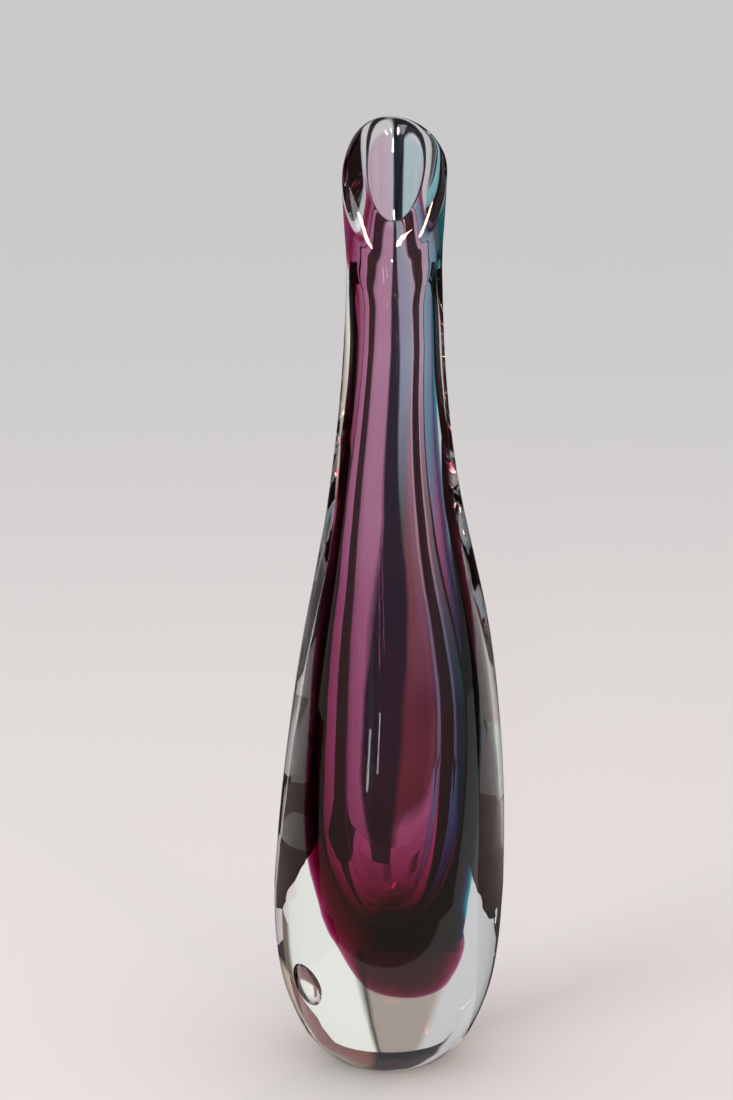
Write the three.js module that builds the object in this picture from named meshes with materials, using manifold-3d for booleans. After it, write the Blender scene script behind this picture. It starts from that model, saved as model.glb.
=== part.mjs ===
// A cased art glass vase with a slanted, fire-polished mouth and a thick clear foot.
// Millimetres, +Z up. The origin is the centre of the foot, and the mouth opens towards -Y.
// Three glasses are fused in the real vase: an amethyst cup round the hollow, a teal band
// set into the cup's back and right side, and the clear casing gathered over both. At the
// back the teal laps over thinner amethyst, which makes the dark seam between the colours.
// Each piece is turned on the axis, cut by its neighbours, and then bent by one shared
// warp: the freehand lean of the body, the lean of the core and the slant of the mouth.

import * as THREE from 'three';
import { mergeVertices } from 'three/addons/utils/BufferGeometryUtils.js';
import Module from 'manifold-3d';

// Outside of the clear casing
const height = 350;
const footRadius = 21.6;
const widestRadius = 43;
const widestHeight = 68;
const neckRadius = 17.2;
const neckHeight = 296;
const lipRadius = 18.7;

// Mouth. The rise is how far its outer edge climbs from the front to the back, the bow how
// far both of these lie below a straight cut through its sides, and the roll how much its
// right side is above its left. The crest at the back is narrowed and skewed to the left.
const mouthRadius = 9;
const mouthRise = 45;
const mouthBow = 7;
const mouthRoll = 4.2;
const crestSkew = 6.3;
const crestNarrowShare = 0.22;
const mouthDeepeningBack = 4.6;
const mouthDeepeningFront = 2.2;
const slantStartHeight = 268;
const colourIntoLip = 1.5;

// Hollow
const hollowFloorHeight = 56;
const hollowWidestRadius = 18.2;
const hollowWidestHeight = 118;
const hollowNeckRadius = 7.3;
const hollowNeckHeight = 274;

// Coloured core, the amethyst and the teal together
const coreFloorHeight = 28.8;
const coreWidestRadius = 21.3;
const coreWidestHeight = 96;
const coreNeckRadius = 9.9;
const coreNeckHeight = 266;
const coreTopRadius = 10.9;

// Teal band, set into the outside of the core
const tealFloorHeight = 46;
const tealThroughHeight = 168;
const tealStartAngle = -28;
const seamStartAngle = 66;
const tealEndAngle = 92;
const tealFloorThickness = 1.4;
const tealThroughThickness = 1.9;
const seamThicknessShare = 0.45;

// Freehand bends: how far the body, the core's bulb and the hollow's floor stray to +X
const bodyLean = 3;
const coreLean = 6;
const hollowLean = -6.6;

// Fused faces are drawn this far apart
const fusedGap = 0.3;
const cutOverrun = 30;

// Facets
const facetsRound = 48;
const lipFacets = 8;
const neckRows = 7;

// Outlines as shares. Each pair is the share of the height between two named heights,
// then the share of the way from the smaller named radius to the larger one.
const footOutlineShares = [
  [0, 0], [0.03, 0.12], [0.075, 0.27], [0.13, 0.425], [0.21, 0.56],
  [0.3, 0.685], [0.42, 0.815], [0.57, 0.91], [0.76, 0.972], [1, 1],
];
const shoulderOutlineShares = [
  [0, 1], [0.1, 0.965], [0.19, 0.912], [0.275, 0.838], [0.36, 0.746], [0.447, 0.622],
  [0.535, 0.462], [0.622, 0.305], [0.71, 0.183], [0.8, 0.094], [0.89, 0.035], [1, 0],
];
const lipFlareShares = [[0.28, 0.1], [0.69, 0.67]];
const hollowFloorShares = [
  [0, 0], [0.012, 0.2], [0.05, 0.4], [0.125, 0.585], [0.25, 0.755],
  [0.42, 0.885], [0.64, 0.965], [1, 1],
];
const coreFloorShares = [
  [0, 0], [0.012, 0.22], [0.048, 0.437], [0.137, 0.6], [0.235, 0.705],
  [0.345, 0.778], [0.51, 0.872], [0.7, 0.95], [0.86, 0.988], [1, 1],
];
const hollowShoulderShares = [
  [0, 1], [0.14, 0.945], [0.28, 0.77], [0.42, 0.53], [0.57, 0.325], [0.72, 0.155], [0.86, 0.05], [1, 0],
];
const coreShoulderShares = [
  [0, 1], [0.14, 0.99], [0.28, 0.92], [0.42, 0.73], [0.57, 0.45], [0.72, 0.26], [0.86, 0.115], [1, 0],
];

// Lines of lean. Each pair is the share of the mouth's height (for the body), of the core's
// widest height (for the bulb) or of the hollow's (for its floor), then the share of the lean.
const bodyLeanShares = [
  [0, 0], [0.15, -0.1], [0.3, 0.5], [0.4, 0.83], [0.51, 1], [0.6, 0.84], [0.72, 0.58], [1.1, 0.6],
];
const coreLeanShares = [
  [0, 0.92], [0.3, 0.95], [0.4, 1], [0.48, 0.96], [0.56, 0.76], [0.67, 0.47], [0.81, 0.17], [1, 0],
  [1.4, -0.05], [1.75, -0.4], [2.05, -0.55], [2.4, -0.35], [2.8, 0],
];
const hollowLeanShares = [[0, 0], [0.35, 0], [0.43, 0.98], [0.48, 1], [0.61, 0.68], [1, 0]];

const wasm = await Module();
wasm.setup();

// A smooth curve through hand-picked points, walked in even steps
function smoothed(points, steps) {
  const curve = new THREE.SplineCurve(points);
  return curve.getSpacedPoints(steps);
}

function outlinePoints(shares, lowHeight, highHeight, smallRadius, largeRadius, steps) {
  const points = shares.map(([heightShare, radiusShare]) => new THREE.Vector2(
    THREE.MathUtils.lerp(smallRadius, largeRadius, radiusShare),
    THREE.MathUtils.lerp(lowHeight, highHeight, heightShare),
  ));
  return smoothed(points, steps);
}

// The value at one height of a line of points, held level past its ends
function across(points, height) {
  const above = points.findIndex((point) => point.y >= height);
  if (above === 0) return points[0].x;
  if (above < 0) return points[points.length - 1].x;
  const low = points[above - 1];
  const high = points[above];
  return THREE.MathUtils.mapLinear(height, low.y, high.y, low.x, high.x);
}

// Outside, from the foot's edge to the widest ring and up the shoulder to the neck
const footSteps = 12;
const shoulderSteps = 18;
const outside = [
  ...outlinePoints(footOutlineShares, 0, widestHeight, footRadius, widestRadius, footSteps),
  ...outlinePoints(
    shoulderOutlineShares, widestHeight, neckHeight, neckRadius, widestRadius, shoulderSteps,
  ).slice(1),
];

// Hollow, from its floor to its widest ring and up to the neck
const hollowFloorSteps = 8;
const coreFloorSteps = 11;
const upperSteps = 11;
const hollow = [
  ...outlinePoints(
    hollowFloorShares, hollowFloorHeight, hollowWidestHeight, 0, hollowWidestRadius, hollowFloorSteps,
  ),
  ...outlinePoints(
    hollowShoulderShares, hollowWidestHeight, hollowNeckHeight,
    hollowNeckRadius, hollowWidestRadius, upperSteps,
  ).slice(1),
];

// Core, from its floor to its widest ring and up to the neck
const core = [
  ...outlinePoints(
    coreFloorShares, coreFloorHeight, coreWidestHeight, 0, coreWidestRadius, coreFloorSteps,
  ),
  ...outlinePoints(
    coreShoulderShares, coreWidestHeight, coreNeckHeight,
    coreNeckRadius, coreWidestRadius, upperSteps,
  ).slice(1),
];

// The slanted mouth: where it takes a point, and how far it lifts it. The mouth's hole is
// deepened front and back, and the lip's outside stays where it is.
const slantSlope = mouthRise / (2 * lipRadius);

function slantedBy(x, y, outShare, slant) {
  const deepening = y > 0 ? mouthDeepeningBack : mouthDeepeningFront;
  const stretchShare = slant * (1 - outShare) / (1 - mouthRadius / lipRadius);
  const deepened = y * (1 + stretchShare * deepening / mouthRadius);
  const reachShare = deepened / lipRadius;
  const crestShare = slant * (Math.max(0, reachShare) * outShare) ** 2;
  const narrowed = x * (1 - crestNarrowShare * crestShare);
  const rollLift = mouthRoll / 2 * x / lipRadius;
  const lift = slantSlope * deepened - mouthBow * reachShare ** 2 + rollLift;
  return { x: narrowed - crestSkew * crestShare, y: deepened, lift: slant * lift };
}

// The lip before it is slanted is level, and just so high that its slanted crest is at height
const lipHalfWall = (lipRadius - mouthRadius) / 2;
const lipCentreRadius = (lipRadius + mouthRadius) / 2;
const lipSection = [];
for (let step = 0; step <= lipFacets; step += 1) {
  const turn = Math.PI * step / lipFacets;
  lipSection.push(new THREE.Vector2(
    lipCentreRadius + lipHalfWall * Math.cos(turn),
    lipHalfWall * Math.sin(turn),
  ));
}
const crestRises = lipSection.map(
  (point) => point.y + slantedBy(0, point.x, point.x / lipRadius, 1).lift,
);
const lipCentreHeight = height - Math.max(...crestRises);
const mouthHeight = lipCentreHeight + lipHalfWall;
const lipArc = lipSection.map((point) => new THREE.Vector2(point.x, lipCentreHeight + point.y));
const colourTopHeight = lipCentreHeight + colourIntoLip;
const colourTopRadius = lipCentreRadius - Math.sqrt(lipHalfWall ** 2 - colourIntoLip ** 2);

// The neck above its narrowest ring, swelling to the lip
const lipFlare = lipFlareShares.map(([heightShare, radiusShare]) => new THREE.Vector2(
  THREE.MathUtils.lerp(neckRadius, lipRadius, radiusShare),
  THREE.MathUtils.lerp(neckHeight, lipCentreHeight, heightShare),
));

// A neck that swells from one point to another, faster towards its top
function swelling(from, to) {
  const points = [];
  for (let row = 1; row <= neckRows; row += 1) {
    const share = row / neckRows;
    points.push(new THREE.Vector2(
      THREE.MathUtils.lerp(from.x, to.x, share ** 2),
      THREE.MathUtils.lerp(from.y, to.y, share),
    ));
  }
  return points;
}

// The core's outline moved outwards and downwards by a clearance, up to a top height
function coreSkin(clearance, topHeight) {
  const skin = core.map((point) => new THREE.Vector2(
    point.x === 0 ? 0 : point.x + clearance,
    point.x === 0 ? point.y - clearance : point.y - clearance * (1 - point.x / coreWidestRadius),
  ));
  const last = skin[skin.length - 1];
  return [...skin, ...swelling(last, new THREE.Vector2(coreTopRadius + clearance, topHeight))];
}

const coreLine = coreSkin(0, colourTopHeight);

// The hollow's outline up its neck, and a little way over the lip's inner edge
const hollowSkin = [
  ...hollow,
  ...swelling(hollow[hollow.length - 1], new THREE.Vector2(mouthRadius, lipCentreHeight)),
  new THREE.Vector2(colourTopRadius, colourTopHeight),
];

// Turns a profile about the axis and stands it up along +Z
function turned(profile) {
  const geometry = new THREE.LatheGeometry(profile, facetsRound);
  geometry.rotateX(Math.PI / 2);
  return solidFrom(geometry);
}

function solidFrom(source) {
  const bare = source.clone();
  bare.deleteAttribute('normal');
  bare.deleteAttribute('uv');
  const merged = mergeVertices(bare);
  const index = merged.index.array;
  const faces = [];
  for (let corner = 0; corner < index.length; corner += 3) {
    const [a, b, c] = index.slice(corner, corner + 3);
    if (a !== b && b !== c && c !== a) faces.push(a, b, c);
  }
  const positions = new Float32Array(merged.attributes.position.array);
  const mesh = new wasm.Mesh({
    numProp: 3, vertProperties: positions, triVerts: new Uint32Array(faces),
  });
  const solid = new wasm.Manifold(mesh);
  if (solid.volume() > 0) return solid;
  const flipped = faces.map((_, place) => faces[place - (place % 3) + 2 - (place % 3)]);
  return new wasm.Manifold(new wasm.Mesh({
    numProp: 3, vertProperties: positions, triVerts: new Uint32Array(flipped),
  }));
}

// A slice of the core between two angles, open to the axis, grown by a clearance
function coreSlice(startAngle, endAngle, clearance) {
  const start = THREE.MathUtils.degToRad(startAngle);
  const end = THREE.MathUtils.degToRad(endAngle);
  const middle = (start + end) / 2;
  const setBack = clearance / Math.sin((end - start) / 2);
  const reach = widestRadius + cutOverrun;
  const tip = new THREE.Vector2(-setBack * Math.cos(middle), -setBack * Math.sin(middle));
  const shape = new THREE.Shape();
  shape.moveTo(tip.x, tip.y);
  [start, middle, end].forEach((angle) => {
    shape.lineTo(tip.x + reach * Math.cos(angle), tip.y + reach * Math.sin(angle));
  });
  shape.closePath();
  const slice = new THREE.ExtrudeGeometry(shape, { depth: mouthHeight, bevelEnabled: false });
  return solidFrom(slice);
}

// The core's outline from the teal's floor up, grown by a clearance
function tealOuter(clearance) {
  const floorHeight = tealFloorHeight - clearance;
  const skin = coreSkin(clearance, colourTopHeight + clearance);
  const edge = new THREE.Vector2(across(core, tealFloorHeight) + clearance, floorHeight);
  return [edge, ...skin.filter((point) => point.y > floorHeight)];
}

// The teal is sunk a named depth into the core up to where it is through, and from there
// it is as thick as the colour.
function tealThickness(atHeight) {
  if (atHeight > tealThroughHeight) return across(coreLine, atHeight) - across(hollowSkin, atHeight);
  return Math.max(tealFloorThickness, THREE.MathUtils.mapLinear(
    atHeight, tealFloorHeight, tealThroughHeight, tealFloorThickness, tealThroughThickness,
  ));
}

// A line inside the colour, a share of the teal's thickness in from the core's outline
function tealInner(outer, clearance, thicknessShare) {
  return outer.map((point) => {
    const depth = tealThickness(point.y) * thicknessShare + clearance;
    return new THREE.Vector2(across(coreLine, point.y) - depth, point.y);
  });
}

// The ring that the teal's field is sliced from. Below tealThroughHeight it is sunk part of
// the way into the core, and above it the teal is the whole thickness of the colour.
function fieldRing(clearance) {
  const throughHeight = tealThroughHeight - clearance;
  const outer = tealOuter(clearance);
  const sunk = outer.filter((point) => point.y < throughHeight);
  sunk.push(new THREE.Vector2(0, throughHeight));
  const inner = tealInner(sunk, clearance, 1);
  const through = [
    new THREE.Vector2(across(hollowSkin, throughHeight), throughHeight),
    ...hollowSkin.filter((point) => point.y > throughHeight && point.y < colourTopHeight),
    new THREE.Vector2(colourTopRadius, colourTopHeight + clearance),
  ].map((point) => new THREE.Vector2(point.x - clearance, point.y));
  return turned([...outer, ...through.reverse(), ...inner.reverse(), outer[0].clone()]);
}

// The thinner ring of the seam, where the teal laps over amethyst
function seamRing(clearance) {
  const outer = tealOuter(clearance);
  const inner = tealInner(outer, clearance, seamThicknessShare);
  return turned([...outer, ...inner.reverse(), outer[0].clone()]);
}

// The teal's field and, round the back, its seam. The seam starts in the field's middle,
// so that the two are one glass.
function tealSolid(clearance) {
  const fieldMiddleAngle = (tealStartAngle + seamStartAngle) / 2;
  const field = fieldRing(clearance).intersect(coreSlice(tealStartAngle, seamStartAngle, clearance));
  const seam = seamRing(clearance).intersect(coreSlice(fieldMiddleAngle, tealEndAngle, clearance));
  return field.add(seam);
}

// The shared warp. A point's share of the way out, from the axis to the casing's outside,
// says how much of the core's own lean it takes.
// The hollow's floor strays by itself, so its lean fades out faster from the axis.
const outsideAll = [...outside, ...lipFlare, new THREE.Vector2(lipRadius, mouthHeight)];
const leanSteps = 60;
const hollowLeanFade = 4;

function leanLine(shares, fullLean, topHeight) {
  const points = shares.map(([heightShare, leanShare]) => new THREE.Vector2(
    fullLean * leanShare, topHeight * heightShare,
  ));
  return smoothed(points, leanSteps);
}

const bodyLeanLine = leanLine(bodyLeanShares, bodyLean, mouthHeight);
const coreLeanLine = leanLine(coreLeanShares, coreLean, coreWidestHeight);
const hollowLeanLine = leanLine(hollowLeanShares, hollowLean, hollowWidestHeight);

function warped(x, y, z) {
  const outShare = Math.min(1, Math.hypot(x, y) / across(outsideAll, z));
  const inShare = 1 - outShare;
  const lean = across(bodyLeanLine, z)
    + across(coreLeanLine, z) * inShare
    + across(hollowLeanLine, z) * inShare ** hollowLeanFade;
  const slant = THREE.MathUtils.smoothstep(z, slantStartHeight, lipCentreHeight);
  const moved = slantedBy(x, y, outShare, slant);
  return [moved.x + lean, moved.y, z + moved.lift];
}

function bentGeometry(solid) {
  const mesh = solid.getMesh();
  const positions = new Float32Array(mesh.numVert * 3);
  for (let vertex = 0; vertex < mesh.numVert; vertex += 1) {
    const start = vertex * mesh.numProp;
    const [x, y, z] = mesh.vertProperties.slice(start, start + 3);
    positions.set(warped(x, y, z), vertex * 3);
  }
  const geometry = new THREE.BufferGeometry();
  geometry.setAttribute('position', new THREE.BufferAttribute(positions, 3));
  geometry.setIndex(Array.from(mesh.triVerts));
  geometry.computeVertexNormals();
  return geometry;
}

function clearCasing() {
  const hollowBelowLip = hollowSkin.filter((point) => point.y < lipCentreHeight);
  const wall = turned([
    new THREE.Vector2(0, 0),
    ...outside,
    ...lipFlare,
    ...lipArc,
    ...hollowBelowLip.reverse(),
  ]);
  const pocket = turned([
    ...coreSkin(fusedGap, colourTopHeight + fusedGap),
    new THREE.Vector2(0, colourTopHeight + fusedGap),
  ]);
  return wall.subtract(pocket);
}

function amethystCup() {
  const cup = turned([...coreSkin(0, colourTopHeight), ...hollowSkin.toReversed()]);
  return cup.subtract(tealSolid(fusedGap));
}

function piece(name, solid, colour, roughness) {
  const material = new THREE.MeshStandardMaterial({ color: colour, roughness, metalness: 0 });
  const mesh = new THREE.Mesh(bentGeometry(solid), material);
  mesh.name = name;
  return mesh;
}

const clearColour = 0xdfe6e4;
const amethystColour = 0x6d1f55;
const tealColour = 0x1f7f86;
const polishedRoughness = 0.03;

const vase = new THREE.Group();
vase.add(piece('clear_casing', clearCasing(), clearColour, polishedRoughness));
vase.add(piece('amethyst_cup', amethystCup(), amethystColour, polishedRoughness));
vase.add(piece('teal_band', tealSolid(0), tealColour, polishedRoughness));

export default vase;
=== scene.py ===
import math

import bmesh
import bpy
import numpy as np
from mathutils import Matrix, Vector


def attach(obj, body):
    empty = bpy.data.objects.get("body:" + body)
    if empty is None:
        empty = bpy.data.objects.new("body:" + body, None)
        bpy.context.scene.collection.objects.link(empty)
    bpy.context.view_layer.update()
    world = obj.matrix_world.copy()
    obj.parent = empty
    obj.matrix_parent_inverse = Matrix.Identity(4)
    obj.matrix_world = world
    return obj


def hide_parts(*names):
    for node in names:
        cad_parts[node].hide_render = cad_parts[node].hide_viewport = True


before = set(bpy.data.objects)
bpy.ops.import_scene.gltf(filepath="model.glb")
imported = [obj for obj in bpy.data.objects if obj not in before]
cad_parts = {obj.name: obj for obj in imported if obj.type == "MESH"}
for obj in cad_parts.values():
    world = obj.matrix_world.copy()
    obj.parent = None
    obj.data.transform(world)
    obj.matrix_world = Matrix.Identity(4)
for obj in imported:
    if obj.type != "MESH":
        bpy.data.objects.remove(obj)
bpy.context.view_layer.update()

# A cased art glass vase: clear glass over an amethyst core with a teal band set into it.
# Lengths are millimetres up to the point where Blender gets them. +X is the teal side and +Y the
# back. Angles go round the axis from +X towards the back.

MM = 0.001

# Outside of the clear casing
HEIGHT = 350
FOOT_RADIUS = 21.6
WIDEST_RADIUS = 43
WIDEST_HEIGHT = 68
NECK_RADIUS = 17.2
NECK_HEIGHT = 296
LIP_RADIUS = 18.7

# Mouth
MOUTH_RADIUS = 9
MOUTH_RISE = 45
MOUTH_BOW = 7
MOUTH_ROLL = 4.2
CREST_SKEW = 6.3
CREST_NARROW_SHARE = 0.22
MOUTH_DEEPENING_BACK = 4.6
MOUTH_DEEPENING_FRONT = 2.2
SLANT_START_HEIGHT = 268
COLOUR_INTO_LIP = 1.5

# Hollow
HOLLOW_FLOOR_HEIGHT = 56
HOLLOW_WIDEST_RADIUS = 18.2
HOLLOW_WIDEST_HEIGHT = 118
HOLLOW_NECK_RADIUS = 7.3
HOLLOW_NECK_HEIGHT = 274

# Coloured core
CORE_FLOOR_HEIGHT = 28.8
CORE_WIDEST_RADIUS = 21.3
CORE_WIDEST_HEIGHT = 96
CORE_NECK_RADIUS = 9.9
CORE_NECK_HEIGHT = 266
CORE_TOP_RADIUS = 10.9

# Teal, in degrees, and its seam over the amethyst
TEAL_START = -28
SEAM_START = 66
TEAL_END = 92
TEAL_FLOOR_HEIGHT = 48

# Freehand bends towards +X
BODY_LEAN = 3
CORE_LEAN = 6
HOLLOW_LEAN = -6.6

# The colour starts this far out from the wall of the hollow
SKIN_GAP = 0.1

# Facets round the vase and over the lip, steps from one point of a curve to the next, and how
# many points each stretch of an outline gets
FACETS_ROUND = 144
LIP_FACETS = 27
CURVE_STEPS = 14
FLAT_ROWS = 8
FOOT_ROWS = 40
SHOULDER_ROWS = 90
LIP_FLARE_ROWS = 22
HOLLOW_FLOOR_ROWS = 40
CORE_FLOOR_ROWS = 44
INNER_SHOULDER_ROWS = 60
INNER_NECK_ROWS = 24

# Outlines in shares: how far up, then how far out from the smaller radius to the larger
FOOT_SHARES = [
    (0, 0), (0.03, 0.12), (0.075, 0.27), (0.13, 0.425), (0.21, 0.56),
    (0.3, 0.685), (0.42, 0.815), (0.57, 0.91), (0.76, 0.972), (1, 1),
]
SHOULDER_SHARES = [
    (0, 1), (0.1, 0.965), (0.19, 0.912), (0.275, 0.838), (0.36, 0.746), (0.447, 0.622),
    (0.535, 0.462), (0.622, 0.305), (0.71, 0.183), (0.8, 0.094), (0.89, 0.035), (1, 0),
]
LIP_FLARE_SHARES = [(0, 0), (0.28, 0.1), (0.69, 0.67), (1, 1)]
HOLLOW_FLOOR_SHARES = [
    (0, 0), (0.012, 0.2), (0.05, 0.4), (0.125, 0.585), (0.25, 0.755),
    (0.42, 0.885), (0.64, 0.965), (1, 1),
]
CORE_FLOOR_SHARES = [
    (0, 0), (0.012, 0.22), (0.048, 0.437), (0.137, 0.6), (0.235, 0.705),
    (0.345, 0.778), (0.51, 0.872), (0.7, 0.95), (0.86, 0.988), (1, 1),
]
HOLLOW_SHOULDER_SHARES = [
    (0, 1), (0.14, 0.945), (0.28, 0.77), (0.42, 0.53), (0.57, 0.325), (0.72, 0.155),
    (0.86, 0.05), (1, 0),
]
CORE_SHOULDER_SHARES = [
    (0, 1), (0.14, 0.99), (0.28, 0.92), (0.42, 0.73), (0.57, 0.45), (0.72, 0.26),
    (0.86, 0.115), (1, 0),
]

# Leans in shares: how far up, then how much of the full lean
BODY_LEAN_SHARES = [
    (0, 0), (0.15, -0.1), (0.3, 0.5), (0.4, 0.83), (0.51, 1), (0.6, 0.84), (0.72, 0.58), (1.1, 0.6),
]
CORE_LEAN_SHARES = [
    (0, 0.92), (0.3, 0.95), (0.4, 1), (0.48, 0.96), (0.56, 0.76), (0.67, 0.47), (0.81, 0.17), (1, 0),
    (1.4, -0.05), (1.75, -0.4), (2.05, -0.55), (2.4, -0.35), (2.8, 0),
]
HOLLOW_LEAN_SHARES = [(0, 0), (0.35, 0), (0.43, 0.98), (0.48, 1), (0.61, 0.68), (1, 0)]
HOLLOW_LEAN_FADE = 4


# Curves

def smooth_curve(points):
    """A Catmull-Rom curve through the points."""
    points = np.array(points, float)
    last = len(points) - 1
    curve = []
    for start in range(last):
        before = points[max(start - 1, 0)]
        here = points[start]
        there = points[start + 1]
        after = points[min(start + 2, last)]
        for step in range(CURVE_STEPS):
            t = step / CURVE_STEPS
            curve.append(0.5 * (
                2 * here + (there - before) * t
                + (2 * before - 5 * here + 4 * there - after) * t * t
                + (3 * here - before - 3 * there + after) * t ** 3
            ))
    curve.append(points[-1])
    return np.array(curve)


def even(points, count):
    """The same line in evenly spaced points."""
    gaps = np.linalg.norm(np.diff(points, axis=0), axis=1)
    walked = np.concatenate([[0], np.cumsum(gaps)])
    stops = np.linspace(0, walked[-1], count)
    return np.stack([np.interp(stops, walked, points[:, 0]), np.interp(stops, walked, points[:, 1])], 1)


def outline(shares, low, high, small, large, count):
    """Radius and height along an outline that is given in shares."""
    points = [(small + (large - small) * out, low + (high - low) * up) for up, out in shares]
    return even(smooth_curve(points), count)


def across(line, height):
    """How far out a line is at a height."""
    return np.interp(height, line[:, 1], line[:, 0])


def by_height(table, height):
    """What a table of heights and values gives at a height."""
    return np.interp(height, *zip(*table))


def smoothstep(value, low, high):
    """A soft rise from 0 at low to 1 at high."""
    t = np.clip((value - low) / (high - low), 0, 1)
    return t * t * (3 - 2 * t)


# The slanted mouth

SLANT_SLOPE = MOUTH_RISE / (2 * LIP_RADIUS)


def slanted_by(x, y, out_share, slant):
    """Where a point goes, and its lift, as slant rises from 0 below the mouth to 1 at the lip."""
    deepening = np.where(y > 0, MOUTH_DEEPENING_BACK, MOUTH_DEEPENING_FRONT)
    stretch = slant * (1 - out_share) / (1 - MOUTH_RADIUS / LIP_RADIUS)
    deepened = y * (1 + stretch * deepening / MOUTH_RADIUS)
    reach = deepened / LIP_RADIUS
    crest = slant * (np.maximum(0, reach) * out_share) ** 2
    narrowed = x * (1 - CREST_NARROW_SHARE * crest)
    lift = SLANT_SLOPE * deepened - MOUTH_BOW * reach ** 2 + MOUTH_ROLL / 2 * x / LIP_RADIUS
    return narrowed - CREST_SKEW * crest, deepened, slant * lift


lip_half_wall = (LIP_RADIUS - MOUTH_RADIUS) / 2
lip_centre_radius = (LIP_RADIUS + MOUTH_RADIUS) / 2
turns = np.linspace(0, math.pi, LIP_FACETS + 1)
lip_section = np.stack([
    lip_centre_radius + lip_half_wall * np.cos(turns), lip_half_wall * np.sin(turns),
], 1)
crest_lift = slanted_by(0 * turns, lip_section[:, 0], lip_section[:, 0] / LIP_RADIUS, 1)[2]
LIP_CENTRE_HEIGHT = HEIGHT - (lip_section[:, 1] + crest_lift).max()
MOUTH_HEIGHT = LIP_CENTRE_HEIGHT + lip_half_wall
lip_arc = lip_section + (0, LIP_CENTRE_HEIGHT)
COLOUR_TOP_HEIGHT = LIP_CENTRE_HEIGHT + COLOUR_INTO_LIP

# The outlines, radius and height

outside = np.concatenate([
    outline(FOOT_SHARES, 0, WIDEST_HEIGHT, FOOT_RADIUS, WIDEST_RADIUS, FOOT_ROWS),
    outline(SHOULDER_SHARES, WIDEST_HEIGHT, NECK_HEIGHT, NECK_RADIUS, WIDEST_RADIUS, SHOULDER_ROWS)[1:],
    outline(LIP_FLARE_SHARES, NECK_HEIGHT, LIP_CENTRE_HEIGHT, NECK_RADIUS, LIP_RADIUS, LIP_FLARE_ROWS)[1:],
])
outside_to_mouth = np.concatenate([outside, [(LIP_RADIUS, MOUTH_HEIGHT)]])


def swelling(low_radius, low, high_radius, high):
    """The neck of the hollow or of the core, which widens more and more towards its top."""
    shares = np.linspace(0, 1, INNER_NECK_ROWS)[1:]
    return np.stack([low_radius + (high_radius - low_radius) * shares ** 2, low + (high - low) * shares], 1)


hollow = np.concatenate([
    outline(HOLLOW_FLOOR_SHARES, HOLLOW_FLOOR_HEIGHT, HOLLOW_WIDEST_HEIGHT,
            0, HOLLOW_WIDEST_RADIUS, HOLLOW_FLOOR_ROWS),
    outline(HOLLOW_SHOULDER_SHARES, HOLLOW_WIDEST_HEIGHT, HOLLOW_NECK_HEIGHT,
            HOLLOW_NECK_RADIUS, HOLLOW_WIDEST_RADIUS, INNER_SHOULDER_ROWS)[1:],
    swelling(HOLLOW_NECK_RADIUS, HOLLOW_NECK_HEIGHT, MOUTH_RADIUS, LIP_CENTRE_HEIGHT),
])
lip_inside = lip_arc[lip_arc[:, 0] < lip_centre_radius][::-1]
lip_coloured = lip_inside[(lip_inside[:, 1] > LIP_CENTRE_HEIGHT) & (lip_inside[:, 1] < COLOUR_TOP_HEIGHT)]
colour_top_radius = across(lip_inside, COLOUR_TOP_HEIGHT)
hollow_wall = np.concatenate([hollow, lip_coloured, [(colour_top_radius, COLOUR_TOP_HEIGHT)]])

core = np.concatenate([
    outline(CORE_FLOOR_SHARES, CORE_FLOOR_HEIGHT, CORE_WIDEST_HEIGHT,
            0, CORE_WIDEST_RADIUS, CORE_FLOOR_ROWS),
    outline(CORE_SHOULDER_SHARES, CORE_WIDEST_HEIGHT, CORE_NECK_HEIGHT,
            CORE_NECK_RADIUS, CORE_WIDEST_RADIUS, INNER_SHOULDER_ROWS)[1:],
    swelling(CORE_NECK_RADIUS, CORE_NECK_HEIGHT, CORE_TOP_RADIUS, COLOUR_TOP_HEIGHT),
])


def lean_line(shares, full, top):
    """Lean and height along a lean that is given in shares."""
    return smooth_curve([(full * lean, top * up) for up, lean in shares])


body_lean = lean_line(BODY_LEAN_SHARES, BODY_LEAN, MOUTH_HEIGHT)
core_lean = lean_line(CORE_LEAN_SHARES, CORE_LEAN, CORE_WIDEST_HEIGHT)
hollow_lean = lean_line(HOLLOW_LEAN_SHARES, HOLLOW_LEAN, HOLLOW_WIDEST_HEIGHT)


def warped(points):
    """The freehand lean of the body, the core and the hollow, and the slant of the mouth."""
    x, y, z = points.T
    out_share = np.minimum(1, np.hypot(x, y) / across(outside_to_mouth, z))
    in_share = 1 - out_share
    lean = (
        across(body_lean, z) + across(core_lean, z) * in_share
        + across(hollow_lean, z) * in_share ** HOLLOW_LEAN_FADE
    )
    slant = smoothstep(z, SLANT_START_HEIGHT, LIP_CENTRE_HEIGHT)
    moved_x, moved_y, lift = slanted_by(x, y, out_share, slant)
    return np.stack([moved_x + lean, moved_y, z + lift], 1)


# Meshes

WELD_REACH = 0.0001


def glass_piece(name, points, faces, flip=False):
    """A smooth closed mesh whose faces point outwards, or inwards where flip is set."""
    mesh = bpy.data.meshes.new(name)
    mesh.from_pydata((np.array(points) * MM).tolist(), [], faces)
    work = bmesh.new()
    work.from_mesh(mesh)
    bmesh.ops.remove_doubles(work, verts=work.verts, dist=WELD_REACH * MM)
    bmesh.ops.recalc_face_normals(work, faces=work.faces)
    if flip:
        bmesh.ops.reverse_faces(work, faces=work.faces)
    work.to_mesh(mesh)
    work.free()
    mesh.shade_smooth()
    piece = bpy.data.objects.new(name, mesh)
    bpy.context.collection.objects.link(piece)
    return piece


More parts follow.
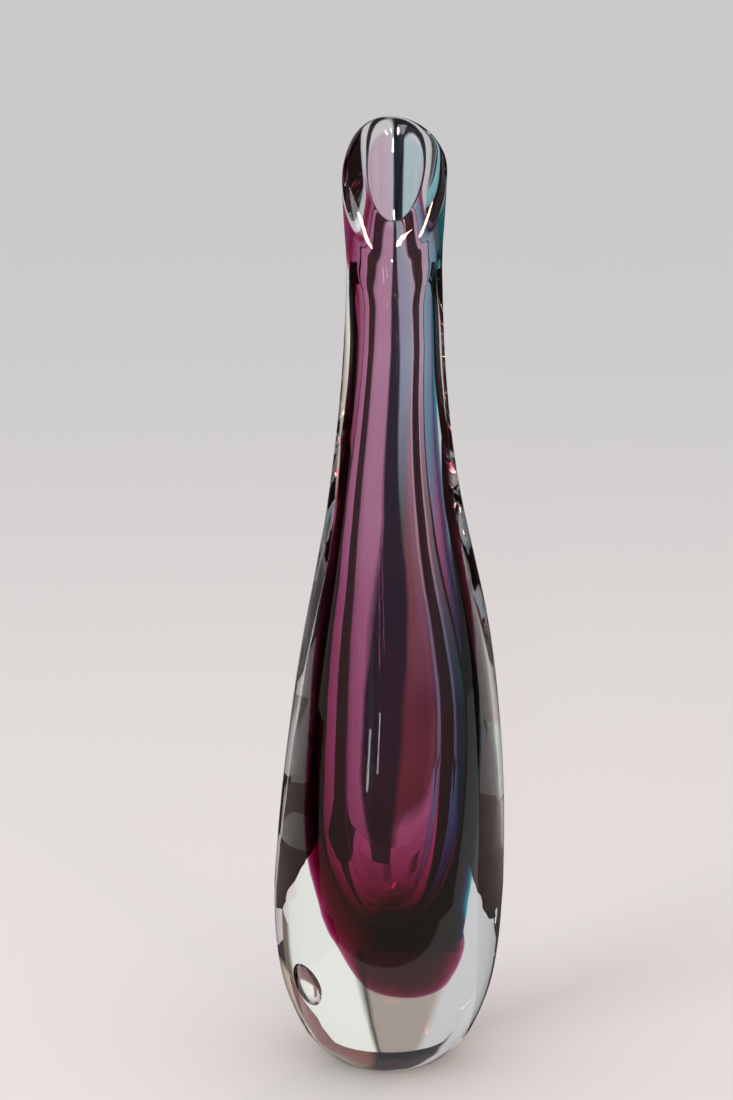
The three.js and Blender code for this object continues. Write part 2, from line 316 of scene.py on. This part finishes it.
def warped_rings(profiles, angles):
    """The points of each profile at its own angle round the axis, ring after ring, and warped."""
    rings = [
        np.stack([profile[:, 0] * math.cos(angle), profile[:, 0] * math.sin(angle), profile[:, 1]], 1)
        for profile, angle in zip(profiles, angles)
    ]
    return warped(np.concatenate(rings))


def turned(name, profile_at, angles):
    """A closed skin round the axis. profile_at gives its outline at an angle, axis to axis."""
    profiles = [profile_at(angle) for angle in angles]
    rows = len(profiles[0])
    count = len(angles)
    faces = []
    for turn in range(count):
        here = turn * rows
        there = (turn + 1) % count * rows
        for row in range(rows - 1):
            faces.append((here + row, there + row, there + row + 1, here + row + 1))
    return glass_piece(name, warped_rings(profiles, angles), faces)


def arched(name, profile_at, angles):
    """A closed band part of the way round. profile_at gives a loop, its outside then its inside."""
    profiles = [profile_at(angle) for angle in angles]
    rows = len(profiles[0])
    faces = []
    for turn in range(len(angles) - 1):
        here = turn * rows
        there = here + rows
        for row in range(rows):
            after = (row + 1) % rows
            faces.append((here + row, there + row, there + after, here + after))
    for end in (0, len(angles) - 1):
        start = end * rows
        for row in range(rows // 2 - 1):
            faces.append((start + row, start + row + 1, start + rows - 2 - row, start + rows - 1 - row))
    return glass_piece(name, warped_rings(profiles, angles), faces)


round_angles = [2 * math.pi * turn / FACETS_ROUND for turn in range(FACETS_ROUND)]

# Clear glass: the ground flat, the outside, over the lip and down the wall of the hollow

foot_rows = np.linspace(0, FOOT_RADIUS, FLAT_ROWS)
foot_flat = np.stack([foot_rows[:-1], 0 * foot_rows[:-1]], 1)
glass_profile = np.concatenate([foot_flat, outside, lip_arc[1:-1], hollow[::-1]])
glass_body = turned("glass_body", lambda angle: glass_profile, round_angles)

# How the colour is shared between the two glasses

core_radii, core_heights = core.T
wall_radii, wall_heights = hollow_wall.T

# A share is a part of the colour's thickness. Places and softnesses round the vase are degrees,
# and each table gives a height first. These two say where the teal starts, and where its thick
# tongue at the back does.
SIDE_STARTS = [(50, -24), (150, -22), (215, -10), (280, 8), (330, 10)]
TONGUE_STARTS = [(145, 98), (170, 68), (208, 46), (256, 18), (286, 8), (330, 4)]
SECTOR_SOFTNESS = 2
TONGUE_SOFTNESS = 7

# The teal's share on the right side, and behind that, where the colour is nearly all amethyst
SIDE_SHARES = [(150, 0.82), (200, 0.5)]
SIDE_END = 14
SIDE_SOFTNESS = 9
BACK_SHARE = 0.06

# The teal's share in the tongue and past the seam, and what is left of it near its lower edge
TONGUE_SHARE = 0.9
SEAM_SHARE = 0.5
LOW_FADE_SHARES = [(48, 0.1), (75, 0.6), (105, 1)]

# How much of the core's thickness outside the hollow is coloured, and how much less of it on the
# right side of the neck, which sets in between two heights
NECK_FILL_SHARES = [(130, 1), (175, 0.85), (225, 0.66), (300, 0.6)]
NECK_THIN_SHARE = 0.5
NECK_THIN_HEIGHTS = (130, 210)


def risen(degrees, start, softness):
    """0 below the start and 1 above it, with a soft side."""
    return smoothstep(degrees, start - softness, start + softness)


def colour_shares(angle, height):
    """The shares of the colour's thickness that are amethyst, and then teal, from the hollow out."""
    degrees = (math.degrees(angle) + 180) % 360 - 180
    started = risen(degrees, by_height(SIDE_STARTS, height), SECTOR_SOFTNESS)
    banded = started * (1 - risen(degrees, TEAL_END, SECTOR_SOFTNESS))
    fullest_side = by_height(SIDE_SHARES, height)
    side = BACK_SHARE + (fullest_side - BACK_SHARE) * (1 - risen(degrees, SIDE_END, SIDE_SOFTNESS))
    tongue = risen(degrees, by_height(TONGUE_STARTS, height), TONGUE_SOFTNESS)
    fullest = TONGUE_SHARE + (SEAM_SHARE - TONGUE_SHARE) * risen(degrees, SEAM_START, SECTOR_SOFTNESS)
    teal = banded * (side + (fullest - side) * tongue) * by_height(LOW_FADE_SHARES, height)
    return 1 - teal, teal


def inner_radii(heights, angle):
    """Where the colour starts: at the wall of the hollow, and further out in the neck."""
    wall = across(hollow_wall, heights) + SKIN_GAP
    thinned = NECK_THIN_SHARE * smoothstep(heights, *NECK_THIN_HEIGHTS) * max(0, math.cos(angle)) ** 2
    fill = by_height(NECK_FILL_SHARES, heights) * (1 - thinned)
    return wall + (across(core, heights) - wall) * (1 - fill)


def amethyst_profile(angle):
    """The amethyst's outline: from the axis up its outside, and down along the hollow to the axis."""
    amethyst, _ = colour_shares(angle, core_heights)
    inner = inner_radii(core_heights, angle)
    shared = inner + (core_radii - inner) * amethyst
    radii = np.where(core_heights < HOLLOW_FLOOR_HEIGHT, core_radii, shared)
    inside_radii = np.where(wall_radii > 0, inner_radii(wall_heights, angle), 0)
    inside_heights = np.where(wall_radii > 0, wall_heights, wall_heights - SKIN_GAP)
    return np.concatenate([
        np.stack([radii, core_heights], 1), np.stack([inside_radii, inside_heights], 1)[::-1],
    ])


amethyst_layer = turned("amethyst_layer", amethyst_profile, round_angles)

# The teal, which reaches past both of its ends as the thinnest skin
TEAL_LEAST = 0.02
TEAL_FACETS = 70
TEAL_MARGIN = 3
teal_rows = core_heights > TEAL_FLOOR_HEIGHT
teal_heights = core_heights[teal_rows]
teal_radii = core_radii[teal_rows]
teal_degrees = np.linspace(TEAL_START - TEAL_MARGIN, TEAL_END + TEAL_MARGIN, TEAL_FACETS)


def teal_profile(angle):
    """The teal's loop: up its outside, and down its inside, clear of the amethyst."""
    amethyst, teal = colour_shares(angle, teal_heights)
    start = inner_radii(teal_heights, angle)
    inner = start + (teal_radii - start) * amethyst + 2 * TEAL_LEAST
    outer = inner + np.maximum((teal_radii - start) * teal - 2 * TEAL_LEAST, TEAL_LEAST)
    return np.concatenate([
        np.stack([outer, teal_heights], 1), np.stack([inner, teal_heights], 1)[::-1],
    ])


teal_layer = arched("teal_layer", teal_profile, [math.radians(degrees) for degrees in teal_degrees])

# The air bubble in the foot, a slanted egg

BUBBLE_CENTRE = (-27.2, -18.5, 35)
BUBBLE_RADII = (5.4, 5.0, 8.2)
BUBBLE_TILT = -28
BUBBLE_FACETS = 40
BUBBLE_ROWS = 24


def egg_points():
    """Rings of points from the top of the egg to its bottom."""
    points = []
    tilt = math.radians(BUBBLE_TILT)
    for row in range(BUBBLE_ROWS + 1):
        fall = math.pi * row / BUBBLE_ROWS
        for facet in range(BUBBLE_FACETS):
            turn = 2 * math.pi * facet / BUBBLE_FACETS
            x = BUBBLE_RADII[0] * math.sin(fall) * math.cos(turn)
            y = BUBBLE_RADII[1] * math.sin(fall) * math.sin(turn)
            z = BUBBLE_RADII[2] * math.cos(fall)
            points.append((
                BUBBLE_CENTRE[0] + x * math.cos(tilt) + z * math.sin(tilt),
                BUBBLE_CENTRE[1] + y,
                BUBBLE_CENTRE[2] - x * math.sin(tilt) + z * math.cos(tilt),
            ))
    return points


def egg_faces():
    """The faces between each ring of the egg and the next."""
    faces = []
    for row in range(BUBBLE_ROWS):
        for facet in range(BUBBLE_FACETS):
            after = (facet + 1) % BUBBLE_FACETS
            low = row * BUBBLE_FACETS
            high = low + BUBBLE_FACETS
            faces.append((low + facet, high + facet, high + after, low + after))
    return faces


bubble = glass_piece("bubble", egg_points(), egg_faces(), flip=True)


# Materials

def material(name):
    """An empty material, its nodes and its links."""
    empty = bpy.data.materials.new(name)
    empty.use_nodes = True
    empty.node_tree.nodes.clear()
    return empty, empty.node_tree.nodes, empty.node_tree.links


# How much light bends in the clear glass, and in the bubble
CLEAR_BENDING = 1.5
BUBBLE_BENDING = 1.2

# Hand-worked glass has slow waves in its skin, drawn out along the vase. Their scale is how many
# there are in a metre.
WAVE_SCALE = (110, 110, 16)
WAVE_DETAIL = 2
WAVE_STRENGTH = 0.5
WAVE_DEPTH = 0.1

# What the clear glass leaves of the light in its shadow
SHADOW_TINT = (0.93, 0.94, 0.93)


def clear_glass(name, bending):
    """Clear glass with waves in its skin, and a pale shadow."""
    glass, nodes, links = material(name)
    output = nodes.new("ShaderNodeOutputMaterial")
    shader = nodes.new("ShaderNodeBsdfPrincipled")
    shader.inputs["Transmission Weight"].default_value = 1
    shader.inputs["Roughness"].default_value = 0
    shader.inputs["IOR"].default_value = bending
    shader.inputs["Base Color"].default_value = (1, 1, 1, 1)
    where = nodes.new("ShaderNodeTexCoord")
    stretched = nodes.new("ShaderNodeMapping")
    stretched.inputs["Scale"].default_value = WAVE_SCALE
    waves = nodes.new("ShaderNodeTexNoise")
    waves.inputs["Scale"].default_value = 1
    waves.inputs["Detail"].default_value = WAVE_DETAIL
    bump = nodes.new("ShaderNodeBump")
    bump.inputs["Strength"].default_value = WAVE_STRENGTH
    bump.inputs["Distance"].default_value = WAVE_DEPTH * MM
    links.new(where.outputs["Object"], stretched.inputs["Vector"])
    links.new(stretched.outputs["Vector"], waves.inputs["Vector"])
    links.new(waves.outputs[0], bump.inputs["Height"])
    links.new(bump.outputs["Normal"], shader.inputs["Normal"])
    through = nodes.new("ShaderNodeBsdfTransparent")
    through.inputs["Color"].default_value = (*SHADOW_TINT, 1)
    path = nodes.new("ShaderNodeLightPath")
    mix = nodes.new("ShaderNodeMixShader")
    links.new(path.outputs["Is Shadow Ray"], mix.inputs[0])
    links.new(shader.outputs[0], mix.inputs[1])
    links.new(through.outputs[0], mix.inputs[2])
    links.new(mix.outputs[0], output.inputs["Surface"])
    return glass


# The colours that the coloured glasses let through, and how much of the others they hold back in
# a metre
AMETHYST_COLOUR = (0.66, 0.0, 0.37)
AMETHYST_DENSITY = 340
TEAL_COLOUR = (0.0, 0.76, 0.81)
TEAL_DENSITY = 550


def coloured_glass(name, colour, density):
    """A skin that bends no light, round a body that takes some of it away."""
    glass, nodes, links = material(name)
    output = nodes.new("ShaderNodeOutputMaterial")
    through = nodes.new("ShaderNodeBsdfTransparent")
    absorption = nodes.new("ShaderNodeVolumeAbsorption")
    absorption.inputs["Color"].default_value = (*colour, 1)
    absorption.inputs["Density"].default_value = density
    links.new(through.outputs[0], output.inputs["Surface"])
    links.new(absorption.outputs[0], output.inputs["Volume"])
    return glass


glass_body.data.materials.append(clear_glass("clear_glass", CLEAR_BENDING))
bubble.data.materials.append(clear_glass("bubble_glass", BUBBLE_BENDING))
amethyst_layer.data.materials.append(coloured_glass("amethyst_glass", AMETHYST_COLOUR, AMETHYST_DENSITY))
teal_layer.data.materials.append(coloured_glass("teal_glass", TEAL_COLOUR, TEAL_DENSITY))

for piece, node, slot in (
    (glass_body, "clear_casing", "clear_glass"),
    (amethyst_layer, "amethyst_cup", "amethyst_glass"),
    (teal_layer, "teal_band", "teal_glass"),
):
    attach(piece, "root")
    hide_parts(node)
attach(bubble, "root")

# The colours of the floor, and of what the glass sees round the vase

FLOOR_COLOUR = (0.75, 0.735, 0.73)
TONES = {
    "white": (0.57, 0.57, 0.58),
    # The grey, navy, rust and tan tones paint the vase's shadow and its half-shadow on the cards behind it
    "shadow_grey": (0.36, 0.31, 0.27),
    "shadow_navy": (0.010, 0.011, 0.020),
    "half_shadow_rust": (0.30, 0.23, 0.16),
    "half_shadow_tan": (0.34, 0.31, 0.26),
    "line": (0.05, 0.035, 0.03),
    "dark": (0.04, 0.025, 0.023),
    "dusk": (0.20, 0.15, 0.11),
    "bright": (0.80, 0.82, 0.76),
    "ember": (0.21, 0.09, 0.07),
    "clay": (0.22, 0.10, 0.10),
    "blush": (0.74, 0.60, 0.52),
    "edge_brown": (0.012, 0.005, 0.005),
    "side_brown": (0.035, 0.018, 0.017),
    "table_brown": (0.014, 0.010, 0.008),
    "front_brown": (0.34, 0.29, 0.26),
    "front_room": (0.20, 0.25, 0.30),
    "side_room": (0.36, 0.34, 0.34),
    "dark_room": (0.065, 0.036, 0.034),
    "ceiling": (0.24, 0.15, 0.14),
    "warm_spark": (70, 40, 26),
    "pale_streak": (7, 7, 7.2),
}


# Floor and cards

def staged(name, points, surface, faces=None):
    """A piece of the stage, which isn't part of the vase. Without faces, its points go round one."""
    mesh = bpy.data.meshes.new(name)
    faces = faces or [tuple(range(len(points)))]
    mesh.from_pydata((np.array(points, float) * MM).tolist(), [], faces)
    mesh.materials.append(surface)
    piece = bpy.data.objects.new(name, mesh)
    bpy.context.collection.objects.link(piece)
    return piece


def only_in_glass(piece):
    """Hides a piece from everything but the rays that the glass mirrors or bends."""
    piece.visible_camera = False
    piece.visible_diffuse = False
    piece.visible_shadow = False


def paper(name, colour):
    """A matt material."""
    sheet, nodes, links = material(name)
    output = nodes.new("ShaderNodeOutputMaterial")
    matt = nodes.new("ShaderNodeBsdfDiffuse")
    matt.inputs["Color"].default_value = (*colour, 1)
    links.new(matt.outputs[0], output.inputs["Surface"])
    return sheet


def glow(name, tone):
    """A material that shines in one tone."""
    sheet, nodes, links = material(name)
    output = nodes.new("ShaderNodeOutputMaterial")
    shine = nodes.new("ShaderNodeEmission")
    shine.inputs["Color"].default_value = (*TONES[tone], 1)
    links.new(shine.outputs[0], output.inputs["Surface"])
    return sheet


def painted_glow(name):
    """A material that shines in the tones painted on its mesh."""
    sheet, nodes, links = material(name)
    output = nodes.new("ShaderNodeOutputMaterial")
    shine = nodes.new("ShaderNodeEmission")
    paint = nodes.new("ShaderNodeAttribute")
    paint.attribute_name = "tone"
    links.new(paint.outputs["Color"], shine.inputs["Color"])
    links.new(shine.outputs[0], output.inputs["Surface"])
    return sheet


def card(name, corners, tone):
    """Something in one tone that only the glass sees. Its corners go round in order."""
    only_in_glass(staged(name, corners, glow(name, tone)))


def toned_card(name, behind, rows):
    """An upright card behind the vase. Each row has a height, places across and their tones."""
    points = []
    colours = []
    for height, places, tones in rows:
        points += [(place, behind, height) for place in places]
        colours += [(*TONES[tone], 1) for tone in tones]
    columns = len(points) // len(rows)
    faces = [
        (start, start + 1, start + columns + 1, start + columns)
        for row in range(len(rows) - 1)
        for start in range(row * columns, row * columns + columns - 1)
    ]
    piece = staged(name, points, painted_glow(name), faces)
    painted = piece.data.color_attributes.new("tone", "FLOAT_COLOR", "POINT")
    painted.data.foreach_set("color", np.array(colours).ravel())
    only_in_glass(piece)


def lying(left, right, front, back, height):
    """The corners of a level rectangle."""
    return [(left, front, height), (right, front, height), (right, back, height), (left, back, height)]


def standing(left, right, low, high):
    """The corners of an upright card from one plan point to another."""
    return [(*left, low), (*right, low), (*right, high), (*left, high)]


FLOOR_REACH = 40000
FLOOR_DROP = 0.3
floor_corners = lying(-FLOOR_REACH, FLOOR_REACH, -FLOOR_REACH, FLOOR_REACH, -FLOOR_DROP)
staged("floor", floor_corners, paper("floor_paper", FLOOR_COLOUR))

# The wall behind, with the vase's shadow painted on it in bands that show through the core. The navy
# band is the painted shadow, the rust and tan beside it in the body rows its painted half-shadow, the
# grey at the bottom a paler edge of it, and the bright beside that in the lowest rows painted light
# that the clear foot throws there. Each row has its height, the places where its tone changes, from
# left to right, and its tones, which also cover the wall's two ends and the room right of it.
# Between two places the tones blend.
WALL_BEHIND = 146
WALL_LEFT = -250
WALL_RIGHT = 152
WALL_END_BLEND = 2
WALL_TOP = 600
ROOM_REACH = 1500
ROOM_TOP = 2000
LOW_TONES = ("white", "white", "shadow_navy", "shadow_navy", "shadow_grey", "bright", "bright", "dark", "dark")
WARM_TONES = ("white", "white", "shadow_navy", "shadow_navy", "ember", "clay", "clay", "blush", "blush")
BODY_TONES = ("white", "white", "shadow_navy", "shadow_navy", "half_shadow_rust", "half_shadow_tan", "half_shadow_tan", "blush", "blush")
NECK_TONES = ("white", "white", "shadow_navy", "shadow_navy", "white", "white", "white", "bright", "bright")
TOP_TONES = (*["white"] * 7, "half_shadow_rust", "dark")
WALL_ROWS = [
    (0, (-48, -38, 2, 9, 16), LOW_TONES),
    (16, (-54, -44, 4, 12, 20), LOW_TONES),
    (30, (-62, -50, 6, 16, 34), WARM_TONES),
    (46, (-74, -62, 9, 18, 60), WARM_TONES),
    (87, (-64, -52, 15, 24, 60), WARM_TONES),
    (122, (-48, -24, 33, 42, 70), BODY_TONES),
    (141, (-18, -5, 46, 58, 90), BODY_TONES),
    (159, (-8, 3, 42, 50, 100), BODY_TONES),
    (217, (-7, 0, 30, 38, 100), NECK_TONES),
    (267, (-14, -9, 9, 18, 100), NECK_TONES),
    (300, (-14, -9, 14, 20, 90), NECK_TONES),
    (335, (-18, -12, 20, 26, 60), NECK_TONES),
    (352, (-9, -5, 6, 10, 60), TOP_TONES),
    (WALL_TOP, (-9, -5, 6, 10, 60), TOP_TONES),
]
toned_card("wall", WALL_BEHIND, [
    (height, (WALL_LEFT, *places, WALL_RIGHT, WALL_RIGHT + WALL_END_BLEND, ROOM_REACH), tones)
    for height, places, tones in WALL_ROWS
])

# Low and close behind the foot: the grey that the foot shows, a painted shadow, and the thin line in it
FOOT_CARD_BEHIND = 80
FOOT_CARD_TOP = 26
FOOT_CARD_PLACES = (-60, -11, -8, 2.6, 3.4, 4.8, 36, 44, 60)
FOOT_CARD_TONES = ("white", "white", "shadow_grey", "shadow_grey", "line", "bright", "bright", "dusk", "dusk")
toned_card("foot_card", FOOT_CARD_BEHIND, [
    (height, FOOT_CARD_PLACES, FOOT_CARD_TONES) for height in (0, FOOT_CARD_TOP)
])

# The dark table left of the paper that the vase stands on, and the table in front of the paper
TABLE_TOP = 0.2
PAPER_FRONT = -125
TABLE_OUTLINE = [
    (-93, WALL_BEHIND), (-ROOM_REACH, WALL_BEHIND), (-ROOM_REACH, PAPER_FRONT), (-120, PAPER_FRONT),
]
card("table", [(x, y, TABLE_TOP) for x, y in TABLE_OUTLINE], "table_brown")
card("table_front", lying(-ROOM_REACH, ROOM_REACH, -ROOM_REACH, PAPER_FRONT, TABLE_TOP), "front_brown")

# The room, and the shadow that lies on the paper between the foot card and the wall
FRONT_LEFT = (-ROOM_REACH, -ROOM_REACH)
FRONT_RIGHT = (ROOM_REACH, -ROOM_REACH)
BACK_LEFT = (-ROOM_REACH, ROOM_REACH)
card("room_front", standing(FRONT_LEFT, FRONT_RIGHT, 0, ROOM_TOP), "front_room")
card("room_right", standing(FRONT_RIGHT, (ROOM_REACH, WALL_BEHIND), 0, ROOM_TOP), "side_room")
card("room_left", standing(FRONT_LEFT, BACK_LEFT, 0, ROOM_TOP), "side_room")

SHADOW_LIFT = 0.4
SHADOW_START = 82
SHADOW_OUTLINE = [(-30, SHADOW_START), (-2, SHADOW_START), (5, WALL_BEHIND), (-42, WALL_BEHIND)]
card("floor_shadow", [(x, y, SHADOW_LIFT) for x, y in SHADOW_OUTLINE], "shadow_navy")
card("room_above", lying(-ROOM_REACH, ROOM_REACH, -ROOM_REACH, ROOM_REACH, ROOM_TOP), "ceiling")
card("room_behind_left", standing(
    (-ROOM_REACH, WALL_BEHIND), (WALL_LEFT, WALL_BEHIND), 0, ROOM_TOP,
), "dark_room")

# An edge-on card close behind: only the rays that the clear sides bend across it see it. It
# follows the vase's back, and its far edge is given in shares of the radius there.
FIN_ACROSS = 1.5
FIN_GAP = 0.9
FIN_FAR_SHARES = [
    (44, 1.1), (52, 1.2), (64, 1.28), (84, 1.36), (120, 1.36), (150, 1.27), (190, 1.2),
    (230, 1.17), (300, 1.17),
]
fin_near = [(across(outside, height) + FIN_GAP, height) for height, _ in FIN_FAR_SHARES]
fin_far = [(across(outside, height) * share, height) for height, share in FIN_FAR_SHARES]
card("fin", [(FIN_ACROSS, y, z) for y, z in fin_far + fin_near[::-1]], "edge_brown")

# Cards beside the vase, which the glass mirrors only along its sides. Their near edges follow
# its sides in steps, and go straight up from the last one.
SIDE_CARD_BEHIND = 6
SIDE_CARD_GAP = 1.5
SIDE_CARD_REACH = 260
SIDE_CARD_STEP = 20
SIDE_CARD_STEPS = 16
for name, side in (("beside_left", -1), ("beside_right", 1)):
    near = []
    for step in range(SIDE_CARD_STEPS):
        height = step * SIDE_CARD_STEP
        reach = across(outside, height) + SIDE_CARD_GAP
        near.append((across(body_lean, height) + side * reach, height))
    far = [(near[-1][0], HEIGHT), (side * SIDE_CARD_REACH, HEIGHT), (side * SIDE_CARD_REACH, 0)]
    card(name, [(x, SIDE_CARD_BEHIND, z) for x, z in near + far], "side_brown")

# Small bright things in the room that the lip and the body mirror as sparkles and streaks: the
# plan points of their ends, their lowest and highest points, and their tone
SPARKS = {
    "spark_left": ((-560, -600), (-480, -680), 560, 1100, "warm_spark"),
    "spark_right": ((380, -760), (470, -700), 700, 1200, "warm_spark"),
    "spark_front": ((-60, -1180), (40, -1180), 1000, 1500, "warm_spark"),
    "spark_back": ((250, 500), (330, 450), 900, 1400, "warm_spark"),
    "streak_front": ((-318, -950), (-296, -958), 30, 120, "pale_streak"),
    "streak_low": ((-470, -880), (-440, -890), -0.2, 90, "pale_streak"),
}
for name, (left, right, low, high, tone) in SPARKS.items():
    card(name, standing(left, right, low, high), tone)

# Lamps: their places, sizes, watts and colours. They all point at one place on the vase.

LAMP_TARGET = (0, 0, 170)
WHITE_LAMP = (1, 1, 1)
WARM_LAMP = (1, 0.6, 0.4)
WARM_LAMP_SIZE = (35, 35)
WARM_LAMP_WATTS = 0.9
LAMPS = {
    "key": ((-900, -700, 1100), (500, 700), 5, WHITE_LAMP),
    "flash": ((-100, -970, 420), (50, 30), 1.5, WHITE_LAMP),
    "warm_left": ((-500, -620, 860), WARM_LAMP_SIZE, WARM_LAMP_WATTS, WARM_LAMP),
    "warm_right": ((420, -700, 950), WARM_LAMP_SIZE, WARM_LAMP_WATTS, WARM_LAMP),
    "warm_back": ((300, 500, 1000), WARM_LAMP_SIZE, WARM_LAMP_WATTS, WARM_LAMP),
}


def area_lamp(name, place, size, watts, colour):
    """A rectangular lamp that points at the target."""
    lamp = bpy.data.lights.new(name, "AREA")
    lamp.color = colour
    lamp.shape = "RECTANGLE"
    lamp.size = size[0] * MM
    lamp.size_y = size[1] * MM
    lamp.energy = watts
    piece = bpy.data.objects.new(name, lamp)
    bpy.context.collection.objects.link(piece)
    piece.location = Vector(place) * MM
    piece.rotation_euler = (Vector(LAMP_TARGET) - Vector(place)).to_track_quat("-Z", "Y").to_euler()


for name, (place, size, watts, colour) in LAMPS.items():
    area_lamp(name, place, size, watts, colour)

# World

SKY_COLOUR = (0.79, 0.79, 0.80)
world = bpy.data.worlds.new("studio")
bpy.context.scene.world = world
world.use_nodes = True
nodes = world.node_tree.nodes
links = world.node_tree.links
nodes.clear()
output = nodes.new("ShaderNodeOutputWorld")
sky = nodes.new("ShaderNodeBackground")
sky.inputs["Color"].default_value = (*SKY_COLOUR, 1)
links.new(sky.outputs[0], output.inputs[0])

# Camera: the photograph's view, 733 by 1100 pixels

CAMERA_PLACE = (-8.2, -968, 409)
CAMERA_PITCH = 12.5
FOCAL_PIXELS = 2713
FRAME_PIXELS = 1100
SENSOR = 36
camera_data = bpy.data.cameras.new("camera")
camera_data.sensor_width = SENSOR
camera_data.lens = SENSOR * FOCAL_PIXELS / FRAME_PIXELS
camera = bpy.data.objects.new("camera", camera_data)
bpy.context.collection.objects.link(camera)
camera.location = Vector(CAMERA_PLACE) * MM
camera.rotation_euler = (math.radians(90 - CAMERA_PITCH), 0, 0)
scene = bpy.context.scene
scene.camera = camera
scene.view_settings.view_transform = "Standard"

# How often light may cross, be mirrored in and pass unbent through the glasses

GLASS_BOUNCES = 24
MIRROR_BOUNCES = 12
UNBENT_BOUNCES = 64
scene.cycles.max_bounces = GLASS_BOUNCES
scene.cycles.transmission_bounces = GLASS_BOUNCES
scene.cycles.glossy_bounces = MIRROR_BOUNCES
scene.cycles.transparent_max_bounces = UNBENT_BOUNCES
scene.cycles.caustics_refractive = False
scene.cycles.caustics_reflective = False
